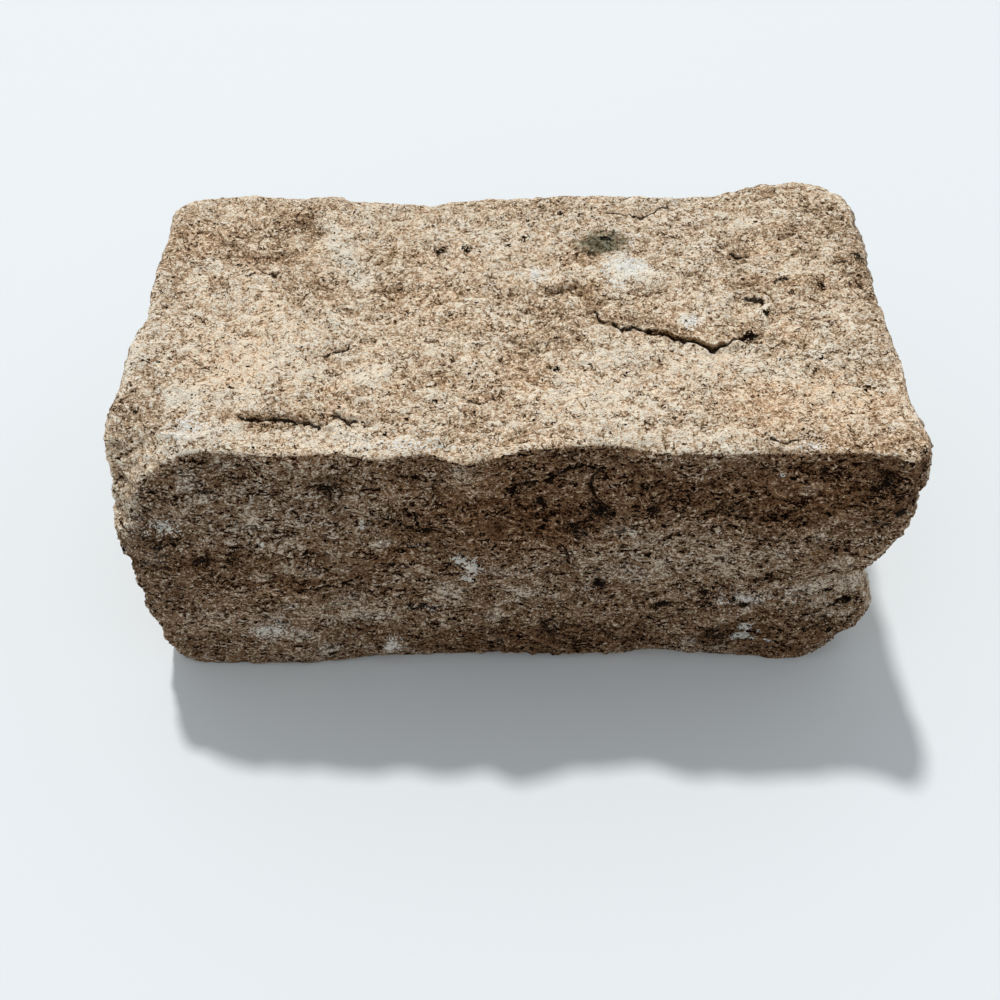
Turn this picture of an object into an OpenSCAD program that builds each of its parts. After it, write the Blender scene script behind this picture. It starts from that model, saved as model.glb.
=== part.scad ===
// Granite Belgian block: a hand-split paving sett, one solid piece of stone.
// Millimetres, +Z up, +X along its length, front face towards -Y.
// The origin is on the ground, in the middle of the stone's outer box.

/* [Block] */
// Overall length, from end to end
length = 294; // [220:1:360]
// Overall width, from front to back
width = 164; // [120:1:210]
// Overall height above the ground
height = 126; // [95:1:170]

/* [Edges] */
// Radius of the long edges, where one split face meets the next
edge_r = 3; // [2:0.5:8]
// Radius of the four upright corners, seen from above
corner_r = 12; // [11:0.5:22]

/* [Split faces] */
// Height of the long swells left by the splitting
swell = 2; // [0:0.1:4]
// Distance between one long swell and the next
swell_pitch = 52; // [30:1:90]
// Height of the short lumps
lump = 1.2; // [0:0.1:2]
// Distance between one short lump and the next
lump_pitch = 19; // [12:1:40]
// Which pattern of swells and lumps the stone has
pattern = 11; // [1:1:99]

/* [End notch] */
// Height of the notch in the right end
notch_z = 52; // [35:1:60]
// Depth of the notch
notch_depth = 6; // [0:0.5:14]
// Half height of the notch
notch_reach = 24; // [15:1:40]

/* [Bed] */
// How far the flat bed cuts into the rough underside
bed_cut = 2; // [1:0.1:4]

/* [Facets] */
// Size of the flat facets that the surface is made of
facet = 8.5; // [7:0.5:14]

/* [Hidden] */

// The sharp box that the stone is worked from: the relief stands proud of it.
proud = swell + lump;
half_l = length / 2 - proud;
half_w = width / 2 - proud;
half_h = height / 2;
grain_n = 4096;
grain = rands(-1, 1, grain_n, pattern);

// Where the mason's hammer moved the surface: [centre, reach, push].
marks = [
    // left end: the front top corner knocked off, the foot standing out
    [[-half_l, -half_w, height], [36, 34, 44], [2, 3, -14]],
    [[-half_l, -half_w, height], [20, 24, 40], [-3, 2, -13]],
    [[-half_l, 20, height], [40, 70, 40], [3, 0, 0]],
    [[-half_l, half_w, height], [40, 44, 60], [1, 0, 0]],
    [[-half_l, -half_w, 0.35 * height], [40, 60, 60], [-6, 0, 0]],
    [[-half_l, 30, 0.3 * height], [30, 60, 44], [3, 0, 0]],
    // right end: a brow, the notch below it, and a foot cut back at the front
    [[half_l, -half_w, 0.78 * height], [44, 70, 30], [3, 0, 0]],
    [[half_l, -half_w + 10, notch_z], [46, 62, notch_reach], [-notch_depth, 1, 0]],
    [[half_l, -half_w, 0.24 * height], [34, 36, 20], [4, 0, 0]],
    [[half_l, -half_w, 0], [26, 30, 26], [-8, 8, 3]],
    [[half_l, 10, height], [40, 90, 40], [-3, 0, 0]],
    [[half_l, half_w, height], [26, 26, 60], [-2, -1, -1]],
    // front: leans back towards a wavy crest
    [[0, -half_w, height], [280, 46, 110], [0, 5, 0]],
    [[-100, -half_w, height], [40, 30, 40], [0, 4, 0]],
    [[-58, -half_w, height], [30, 26, 30], [0, 2, 0]],
    [[-20, -half_w, height], [26, 24, 30], [0, -3, 0]],
    [[27, -half_w, height], [34, 28, 36], [0, 5, 0]],
    [[116, -half_w, height], [30, 24, 30], [0, 1.5, 0]],
    // front: lifted between the two ends of the foot, scooped at the right
    [[0, -half_w, 0], [110, 20, 26], [0, 3, 3]],
    [[74, -half_w, 0], [60, 26, 40], [0, 3, 0]],
    [[half_l - 20, -half_w, 0.36 * height], [40, 24, 20], [0, 5, 0]],
    // back: dips behind the middle left, hollow below, swelling at the right
    [[0, half_w, height], [180, 40, 100], [0, 0, -2]],
    [[-36, half_w, height], [46, 36, 50], [0, -3, 0]],
    [[72, half_w, height], [44, 36, 60], [0, -3, 0]],
    [[half_l - 25, half_w, height], [34, 34, 50], [0, 4, 1]],
    [[-70, half_w, 0.25 * height], [70, 30, 44], [0, -5, 0]],
    [[60, half_w, 0.45 * height], [70, 30, 44], [0, 2, 0]],
    // top: a shallow trough across the left, one before the crest at the left,
    // and the low side of a step at the right
    [[-60, 14, height], [46, 60, 24], [0, 0, -2.5]],
    [[-72, -half_w + 14, height], [46, 15, 16], [0, 0, -2]],
    [[62, -36, height], [46, 24, 16], [0, 0, -3]],
];

function clamp(v, limit) = max(-limit, min(limit, v));
function ease(t) = t * t * (3 - 2 * t);
function mix(a, b, t) = a + (b - a) * t;
function sum(v) = v * [for (x = v) 1];

// Smooth random relief from -1 to 1, one lump to each unit of p.
function lattice(i, j, k) =
    grain[(((i * 73 + j * 179 + k * 283) % grain_n) + grain_n) % grain_n];
function lattice_row(i, j, k, u) = mix(lattice(i, j, k), lattice(i + 1, j, k), u);
function relief(p) =
    let (
        i = floor(p.x), j = floor(p.y), k = floor(p.z),
        u = ease(p.x - i), v = ease(p.y - j), w = ease(p.z - k)
    )
    mix(
        mix(lattice_row(i, j, k, u), lattice_row(i, j + 1, k, u), v),
        mix(lattice_row(i, j, k + 1, u), lattice_row(i, j + 1, k + 1, u), v),
        w
    );

// Bends a square region round: d is the offset into it.
function round_off(d) = norm(d) == 0 ? d : d * max(abs(d.x), abs(d.y)) / norm(d);

// A point of the sharp box, moved onto the same box with its corners and edges
// rounded, as [point, outward direction].
function rounded(p) =
    let (
        core = [clamp(p.x, half_l - corner_r), clamp(p.y, half_w - corner_r)],
        off = [p.x, p.y] - core,
        plan = core + round_off(off),
        wall = norm(off) > 0 ? off / norm(off) : [0, 0],
        inset = min(half_l - abs(p.x), half_w - abs(p.y)),
        rise = half_h - abs(p.z),
        rim = [max(edge_r - inset, 0), max(edge_r - rise, 0)],
        drawn_in = rim - round_off(rim),
        on_rim = min(rim.x, rim.y) > 0,
        up = sign(p.z),
        rim_dir = [wall.x * rim.x, wall.y * rim.x, up * rim.y]
    )
    [
        [plan.x - wall.x * drawn_in.x, plan.y - wall.y * drawn_in.x, p.z - up * drawn_in.y],
        on_rim ? rim_dir / norm(rim_dir)
            : inset < rise ? [wall.x, wall.y, 0] : [0, 0, up]
    ];

// How much of a mark's push a point gets: 1 at its centre, 0 beyond its reach.
function share(p, mark) =
    let (
        d = p - mark[0],
        r = mark[1],
        far = (d.x / r.x) ^ 2 + (d.y / r.y) ^ 2 + (d.z / r.z) ^ 2
    )
    far < 1 ? (1 - far) ^ 2 : 0;
function pushed(p) =
    [for (axis = [0:2]) sum([for (mark = marks) share(p, mark) * mark[2][axis]])];

// The stone's surface over one point of the sharp box.
function surface_point(box_point) =
    let (
        found = rounded(box_point),
        p = found[0] + [0, 0, half_h],
        rough = swell * relief(p / swell_pitch) + lump * relief(p / lump_pitch)
    )
    p + pushed(p) + found[1] * rough;

// Stops along one axis: close together round the edges, a facet apart between.
function stops(half) =
    let (inner = half - edge_r, n = round(2 * inner / facet))
    concat(
        [-half, -half + edge_r / 2],
        [for (i = [0:n]) -inner + 2 * inner * i / n],
        [half - edge_r / 2, half]
    );
xs = stops(half_l);
ys = stops(half_w);
zs = stops(half_h);
nx = len(xs);
ny = len(ys);
nz = len(zs);

// One face of the box as a grid of points, and the two triangles of each cell.
function grid(us, vs, place) = [for (v = vs) for (u = us) place(u, v)];
function cells(nu, nv, first, flip) = [
    for (j = [0:nv - 2]) for (i = [0:nu - 2])
        let (
            a = first + j * nu + i, b = a + 1, c = a + nu + 1, d = a + nu,
            quad = flip ? [a, b, c, d] : [a, d, c, b]
        )
        each [[quad[0], quad[1], quad[2]], [quad[0], quad[2], quad[3]]]
];

box_points = concat(
    grid(xs, ys, function (u, v) [u, v, half_h]),
    grid(xs, ys, function (u, v) [u, v, -half_h]),
    grid(xs, zs, function (u, v) [u, -half_w, v]),
    grid(xs, zs, function (u, v) [u, half_w, v]),
    grid(ys, zs, function (u, v) [half_l, u, v]),
    grid(ys, zs, function (u, v) [-half_l, u, v])
);
faces = concat(
    cells(nx, ny, 0, false),
    cells(nx, ny, nx * ny, true),
    cells(nx, nz, 2 * nx * ny, false),
    cells(nx, nz, 2 * nx * ny + nx * nz, true),
    cells(ny, nz, 2 * nx * (ny + nz), false),
    cells(ny, nz, 2 * nx * (ny + nz) + ny * nz, true)
);

// The rough stone, drawn to its overall sizes, with the ground at z = 0.
rough_points = [for (p = box_points) surface_point(p) - [0, 0, bed_cut]];
function low(axis) = min([for (p = rough_points) p[axis]]);
function high(axis) = max([for (p = rough_points) p[axis]]);
middle = [(low(0) + high(0)) / 2, (low(1) + high(1)) / 2, 0];
fit = [length / (high(0) - low(0)), width / (high(1) - low(1)), height / high(2)];
stone_points = [for (p = rough_points) [for (axis = [0:2]) (p[axis] - middle[axis]) * fit[axis]]];

module rough_stone() {
    polyhedron(points = stone_points, faces = faces);
}

// Everything below the ground, which the flat bed is cut to.
module ground() {
    translate([-length, -width, -height]) cube([2 * length, 2 * width, height]);
}

module granite_block() {
    color([0.72, 0.65, 0.55]) difference() {
        rough_stone();
        ground();
    }
}

granite_block();
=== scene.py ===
import random
from math import floor, radians
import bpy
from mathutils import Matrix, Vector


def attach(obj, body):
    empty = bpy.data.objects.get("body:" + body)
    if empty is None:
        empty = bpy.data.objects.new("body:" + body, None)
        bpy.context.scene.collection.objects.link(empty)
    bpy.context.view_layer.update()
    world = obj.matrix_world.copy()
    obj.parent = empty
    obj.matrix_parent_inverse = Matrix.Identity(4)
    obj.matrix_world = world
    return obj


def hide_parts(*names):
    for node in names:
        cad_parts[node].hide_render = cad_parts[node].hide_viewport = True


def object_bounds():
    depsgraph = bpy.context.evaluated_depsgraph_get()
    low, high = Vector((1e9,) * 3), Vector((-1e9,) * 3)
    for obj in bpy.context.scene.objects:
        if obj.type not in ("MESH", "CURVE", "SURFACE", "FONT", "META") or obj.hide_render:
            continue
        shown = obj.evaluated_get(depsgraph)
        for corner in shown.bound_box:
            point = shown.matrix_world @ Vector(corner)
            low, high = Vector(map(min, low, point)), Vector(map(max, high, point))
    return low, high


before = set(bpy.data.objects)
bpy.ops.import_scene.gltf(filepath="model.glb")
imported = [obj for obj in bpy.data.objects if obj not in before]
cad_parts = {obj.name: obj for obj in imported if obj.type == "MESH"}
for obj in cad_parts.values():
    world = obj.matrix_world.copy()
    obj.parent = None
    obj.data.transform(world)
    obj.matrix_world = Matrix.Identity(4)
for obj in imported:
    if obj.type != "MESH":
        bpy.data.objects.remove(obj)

from types import SimpleNamespace

import bmesh
import bpy
import numpy as np
from mathutils import Euler, Quaternion, Vector, noise

# A granite belgian block, hand split and worn. The frame is in metres, and
# everything about the stone's surface is in millimetres.
mm = 0.001
stoneNode = "granite_block"
scene = bpy.context.scene
cadLow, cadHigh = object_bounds()
scene.view_settings.view_transform = "Standard"


# How the split faces are roughened. Each pattern has its size along x, y and z,
# and how far it stands out, as a spread either side of the mean. A pair called
# ...From is where something starts to count and where it counts in full.
stone = {
    "seed": 8,
    "voxel": 1.3,
    "netRounds": 2,  # rounds of blurring that take the small steps of the net away
    "facetRounds": 7,  # and the CAD model's flat facets
    "arrisFrom": (0.25, 0.7),  # blurring moves a flat less than the first, an arris more than the second
    "arrisSharpening": 0.8,
    "ledgeNear": 3.5,  # the net is made finer this close to a ledge
    "ledgeCuts": 2,
    "wayRounds": (1, 9),  # rounds of blurring for the way a point looks, in detail and broadly
    "rimRounds": 24,  # and for finding the arrises, where the points around look different ways
    "rimFrom": (0.02, 0.11),
    "topFrom": (0.4, 0.8),
    "bedFrom": (0.4, 0.7),
    "faceFrom": (0.35, 0.75),
    "swellSize": (26, 24, 17),
    "swellHeight": 0.85,
    "flakeSize": (22, 18, 10),
    "flakeHeight": 0.45,
    "hackleSize": (9, 7, 5),
    "hackleHeight": 0.42,
    "crystalSize": (4.4, 3.8, 2.8),
    "crystalHeight": 0.24,
    "grainSize": (2.8, 2.3, 1.8),
    "grainHeight": 0.17,
    "topShare": 0.9,  # the top is worn smoother than the split sides
    "sideFine": 0.6,  # how much of the fine relief is left on the sides
    "arrisWear": (0.55, 0.85),  # and the arrises smoother still: broad lumps, fine relief
    "chipSize": (14, 14, 14),
    "chipFrom": (0.1, 1.5),
    "chipDepth": 0.8,  # what is knocked off the arrises
    "wobble": ((0.4, 5), (0.12, 2)),  # how far a ledge strays from its path, and over what length
    "ledgeFade": 0.12,  # each end of a ledge fades out over this share of its length
    "highSide": (0.3, 0.6),  # behind a ledge it rises by this share of the drop, over this share of the run
    "crackReach": 0.6,  # how far off its line a crack has sloped up to the surface
    "crackFade": 3,  # the higher, the sooner a crack's dark line ends where the crack fades out
    "farOff": 9,  # this many crack widths away counts as no crack
    "tallStep": 1.4,  # a step that drops more than this gets painted shade on its riser
    "hollowRounds": (6, 60),  # rounds of blurring that find the small hollows and the broad basins
    "hollowDepths": (0.6, 1.2),  # how deep each is where it counts in full
    "bedPitSize": (7, 7, 7),
    "bedPitFrom": (0.6, 1.6),
    "bedPits": 0.8,
    "boxMargin": 0.4,  # the stone may stand this far out of the CAD box
    "triangles": 195000,
    "thinPlain": 0.02,  # how much sooner the faces that show least are thinned
    "plainBelow": 0.3,  # a face that looks up and forward less than this shows least
    "topColourFrom": (0.4, 0.7),
    "frontColourFrom": (0.3, 0.7),
}


# Steps in the surface, each along a path, with the low side to the right of it:
# how high the step is, how far the low side runs out, over what width the step
# goes down, and how wide the crack at its foot is. A place on the top is its x
# and y, on the front and the back its x and z, and on an end its y and z.
ledges = [
    dict(face="top", drop=1.5, runOut=15, edge=5, crack=0,
         path=[(4, 9), (17, 13), (26, 14), (32, 12), (34, 4)]),
    dict(face="top", drop=1.2, runOut=14, edge=0.8, crack=0.55,
         path=[(33, 4), (34, -2), (36, -6), (39, -8), (42, -11.5), (45, -12), (48, -10.5), (51, -10),
               (54, -9), (56, -11), (60, -13)]),
    dict(face="top", drop=1.5, runOut=12, edge=0.8, crack=0.5,
         path=[(50, -9.5), (54, -9.5), (55, -12), (59, -13.5), (64, -16), (69, -19), (75, -22),
               (79, -20), (83, -19)]),
    dict(face="top", drop=0.7, runOut=10, edge=0.8, crack=0.45,
         path=[(72, -21), (76, -22), (79, -20), (83, -19), (87, -17), (91, -17), (96, -15)]),
    dict(face="top", drop=1.2, runOut=12, edge=4, crack=0,
         path=[(-2, -17), (8, -20), (16, -21), (26, -19)]),
    dict(face="top", drop=1.1, runOut=9, edge=1.5, crack=0.5,
         path=[(-98, -53), (-94, -54), (-86, -54.5), (-78, -54.5), (-73, -56), (-65, -59), (-61, -58)]),
    dict(face="top", drop=0.8, runOut=7, edge=1.2, crack=0.5,
         path=[(-62, -54), (-60, -55), (-55, -57.5), (-51, -57)]),
    dict(face="top", drop=0.9, runOut=7, edge=1.2, crack=0.4,
         path=[(-16, -42), (-13, -46), (-10, -49), (-7, -46.5), (-2, -45.5)]),
    dict(face="top", drop=0.6, runOut=6, edge=1.2, crack=0.5, path=[(-68, -24), (-63, -22), (-57, -20)]),
    dict(face="top", drop=1.3, runOut=12, edge=4, crack=0,
         path=[(-119, 46), (-109, 37), (-101, 33), (-90, 35), (-84, 36)]),
    dict(face="top", drop=0.6, runOut=7, edge=2, crack=0.3, path=[(-99, 27), (-94, 23), (-88, 22)]),
    dict(face="top", drop=0.6, runOut=7, edge=1, crack=0.4,
         path=[(36, 61), (43, 60), (49, 60), (55, 58.5), (60, 60.5), (65, 63), (71, 65)]),
    dict(face="top", drop=0.7, runOut=6, edge=1, crack=0.6, path=[(88, 33), (92, 31), (97, 32)]),
    dict(face="top", drop=0.7, runOut=6, edge=1, crack=0.6, path=[(90, 6), (94, 5), (99, 2)]),
    dict(face="top", drop=0.6, runOut=6, edge=1, crack=0.4, path=[(88, -69), (94, -70), (101, -69)]),
    dict(face="top", drop=0.7, runOut=8, edge=2, crack=0.25, path=[(108, 43), (112, 42), (121, 38)]),
    dict(face="front", drop=0.6, runOut=6, edge=1, crack=0.7,
         path=[(-36, 97), (-34, 93), (-32, 89), (-31, 84)]),
    dict(face="front", drop=0.9, runOut=8, edge=0.9, crack=1.2,
         path=[(0, 97), (2, 103), (2, 106), (4, 108), (8, 108), (12, 107), (15, 109), (19, 113),
               (21, 115), (26, 115), (30, 113), (34, 113)]),
    dict(face="front", drop=0.6, runOut=7, edge=1.4, crack=0,
         path=[(17, 90), (20, 92), (23, 93.5), (27, 96), (31, 98)]),
    dict(face="front", drop=0.4, runOut=5, edge=1, crack=0.6,
         path=[(34, 114), (31, 109), (30, 104), (32, 100), (35, 97)]),
    dict(face="front", drop=0.5, runOut=5, edge=1, crack=0.5,
         path=[(19, 79), (21, 75), (22.5, 71), (22, 67), (21, 64.5), (24, 64), (29, 63)]),
    dict(face="front", drop=0.5, runOut=5, edge=1, crack=0.5,
         path=[(-65, 108), (-62, 104), (-62, 99), (-60, 96)]),
    dict(face="front", drop=0.7, runOut=6, edge=1, crack=0.8, path=[(-52, 89), (-46, 91), (-40, 90)]),
    dict(face="front", drop=0.6, runOut=5, edge=1.2, crack=0.7,
         path=[(-42, 42), (-37, 40), (-30, 40), (-22, 41)]),
    dict(face="front", drop=0.8, runOut=7, edge=2, crack=0.7,
         path=[(-82, 56), (-74, 57), (-66, 55), (-58, 56)]),
    dict(face="front", drop=2.0, runOut=9, edge=2, crack=1,
         path=[(112, 28), (117, 32), (122, 35), (126, 38), (130, 40), (136, 40), (141, 39)]),
]

# Where the front crest is knocked back or stands forward: x, how far along, how
# far back. It moves in full close under the top and close behind the front, up to
# the first depth, and not at all past the second.
crest = [
    (-118, 16, 2.7), (-60, 7, 1), (-46, 7, -2), (-27, 8, 3.8), (-12, 8, -1), (95, 35, 1.3),
    (137, 6, -3),
]
crestDepth = (4.4, 26.4)
crestBack = (9, 27)

# Where the left end stands further out: y and z, how far along each, how far out.
leftEnd = [((-60, 112), (11, 18), 2.4), ((-71, 94), (10, 14), 1.8), ((22, 124), (14, 16), 1.4)]
leftEndDepth = (8, 28)

# Patches of another colour on each face: the middle, the half sizes, how strong.
patches = dict(
    white=dict(top=[
        ((48, 25), (9, 6), 1.2), ((42, 15), (5, 4), 1.1), ((26, 47), (5, 3), 1.2), ((51, 43), (3, 6), 1.1),
        ((69, -10), (4, 3.5), 1.3), ((-32, -70), (14, 3), 0.8), ((-110, -60), (7, 5), 0.7),
        ((104, -72), (7, 3), 0.3), ((12, 22), (4, 5), 0.5),
    ], front=[
        ((-18, 68), (3, 3), 1.1), ((-13, 64), (3, 5), 1.3), ((-16, 57), (3, 3), 1.3),
        ((95, 24), (3, 4), 1.6), ((94, 16), (5, 3), 1.4), ((101, 21), (1, 1), 1.5),
        ((72, 4), (1.5, 1), 1.3), ((-91, 79), (1.5, 2), 1.2), ((-53, 87), (1, 2), 1.0),
        ((105, 16), (2, 1), 1.0), ((-48, 14), (2.5, 4), 0.7), ((-98, 25), (4, 2), 0.2),
        ((-124, 90), (4, 3.5), 0.4), ((94, 114), (1.5, 1), 0.9), ((-32, 39), (8, 0.8), 0.7),
        ((-34, 73), (3, 0.8), 0.8), ((91, 45), (5, 2), 0.2),
    ]),
    black=dict(top=[
        ((39, 43), (2.5, 1.4), 1.1), ((90, -17), (2.2, 2), 1.6), ((-27, 38), (3, 1.8), 1.0),
        ((-16, 39), (2, 1.6), 1.0), ((7, 46), (1.5, 1), 1.2), ((0.5, 41), (1.5, 1.2), 1.2),
        ((138, 28), (2.5, 2.5), 1.1), ((131, 23), (2, 1.6), 1.0), ((106.5, 15), (2, 1.5), 1.0),
        ((121, 12), (2, 1.5), 1.0), ((98, -4), (1.2, 1), 0.8), ((22, 61), (1.4, 1), 1.0),
        ((18, -33), (1.5, 1), 1.1), ((142, -76), (3, 3), 1.6),
    ], front=[
        ((-29, 84), (2.5, 1.5), 1.1), ((33, 94), (3, 3), 0.7), ((24, 85), (2.5, 1.5), 0.6),
        ((52, 96), (2, 2.5), 1.3), ((35, 54), (3, 2), 1.7), ((59, 41), (4, 1.5), 1.4),
        ((-24, 34), (1.2, 0.8), 1.5), ((76, 48), (1.5, 2), 1.2), ((92, 41), (2, 1.3), 1.6),
        ((87, 45), (1.5, 1.5), 1.2), ((109, 115), (1.5, 1.2), 1.1), ((130, 112), (3, 3), 1.0),
        ((127, 107), (1.5, 1), 1.1), ((138, 96), (2.5, 2), 1.4), ((134, 38), (4, 1), 1.3),
        ((133, 91), (4, 1), 0.7), ((124, 45), (2.5, 1), 0.8), ((-114, 73), (3, 1.5), 0.7),
        ((-128, 69), (2, 1), 1.1), ((7, 124), (1.5, 1), 1.2), ((143, 120), (3, 3), 1.2),
        ((-17, 70), (1, 1), 1.2), ((-44, 65), (1.2, 1.2), 1.0), ((-64, 106), (3, 2), 0.6),
        ((78, 98), (3, 2), 0.5), ((84, 19), (4, 4), 0.5), ((18, 25), (4, 3), 0.4),
        ((-36, 85), (1.5, 1), 0.9), ((12, 97), (1.5, 1.2), 0.9), ((-39, 42), (1, 1.5), 1.0),
    ]),
    moss=dict(top=[((38, 40), (10, 7), 1.6)]),
    # places on the left end and the front that take the top's pale colours
    bare=dict(left=[((-72, 108), (14, 18), 2)], front=[((-140, 108), (6, 12), 1.6)]),
    pale=dict(top=[
        ((48, 22), (12, 9), 0.9), ((-75, 58), (5, 6), 1.0), ((-71, 46), (4, 7), 1.0),
        ((-65, 35), (4, 7), 1.0), ((-58, 20), (4, 7), 0.9), ((12, 22), (6, 8), 0.9),
        ((-3, 43), (5, 4), 0.9), ((68, -8), (7, 4), 0.8), ((40, -26), (12, 5), 0.9),
        ((-118, -46), (7, 5), 0.8), ((-112, -62), (12, 6), 0.8), ((-50, -68), (14, 4), 0.9),
        ((104, -72), (10, 4), 0.5), ((-130, -66), (8, 8), 0.4), ((140, -55), (6, 8), 0.7),
    ], front=[
        ((-97, 26), (9, 3.5), 1.2), ((-87, 24), (5, 4), 1.3), ((-93, 37), (3, 4), 1.2),
        ((-48, 14), (4, 5), 1.2), ((73, 15), (4, 3), 1.2), ((-139, 78), (4, 5), 0.6),
        ((-112, 111), (3.5, 4), 1.2), ((110, 46), (3, 4.5), 1.2), ((-66, 71), (2.5, 3), 1.1),
        ((-6, 35), (4, 2.5), 1.2), ((105, 108), (3.5, 2.5), 1.1), ((-63, 63), (3.5, 2.5), 1.2),
        ((-3, 62), (6, 2), 1.1), ((3, 59), (5, 2), 1.1), ((4, 49), (6, 4), 1.0), ((-24, 49), (5, 5), 1.2),
        ((-38, 58), (2, 4), 1.2), ((-56, 35), (11, 2.5), 1.2), ((-64, 44), (6, 3), 1.1),
        ((-84, 44), (5, 2), 1.2), ((-76, 12), (6, 3), 1.2), ((-92, 36), (4, 5), 1.1),
        ((-94, 62), (4, 2), 1.2), ((-84, 66), (4, 2), 1.2), ((-75, 63), (4, 2), 1.2),
        ((-106, 103), (3, 2), 1.1), ((-92, 88), (5, 2), 1.1), ((-91, 94), (1.5, 3), 1.1),
        ((-94, 105), (2, 1.5), 1.1), ((-124, 91), (7, 6), 0.6), ((-136, 94), (6, 10), 0.9),
        ((-132, 75), (6, 6), 0.9), ((-117, 39), (4, 1.5), 1.1), ((-75, 117), (1.5, 2), 1.1),
        ((-46, 78), (4, 3), 1.1), ((-15, 117), (4, 3), 1.1), ((8, 112), (4, 2), 0.5),
        ((-7, 17), (4, 3), 1.0), ((42, 85), (7, 3), 1.0), ((90, 45), (9, 5), 0.8), ((94, 37), (3, 4), 1.0),
        ((84, 8), (4, 2), 1.0), ((113, 83), (3, 3), 1.1), ((78, 70), (5, 3), 0.9),
        ((134, 48), (7, 5), 1.4), ((121, 39), (5, 4), 1.2), ((124, 66), (7, 4), 1.2),
        ((134, 31), (5, 2), 1.2), ((127, 32), (4, 2), 1.1), ((118, 47), (7, 4), 1.1),
        ((102, 75), (6, 5), 0.8), ((46, 60), (14, 6), 0.8), ((30, 78), (10, 5), 0.5),
        ((-116, 124), (12, 4), 0.8),
    ]),
)
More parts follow.
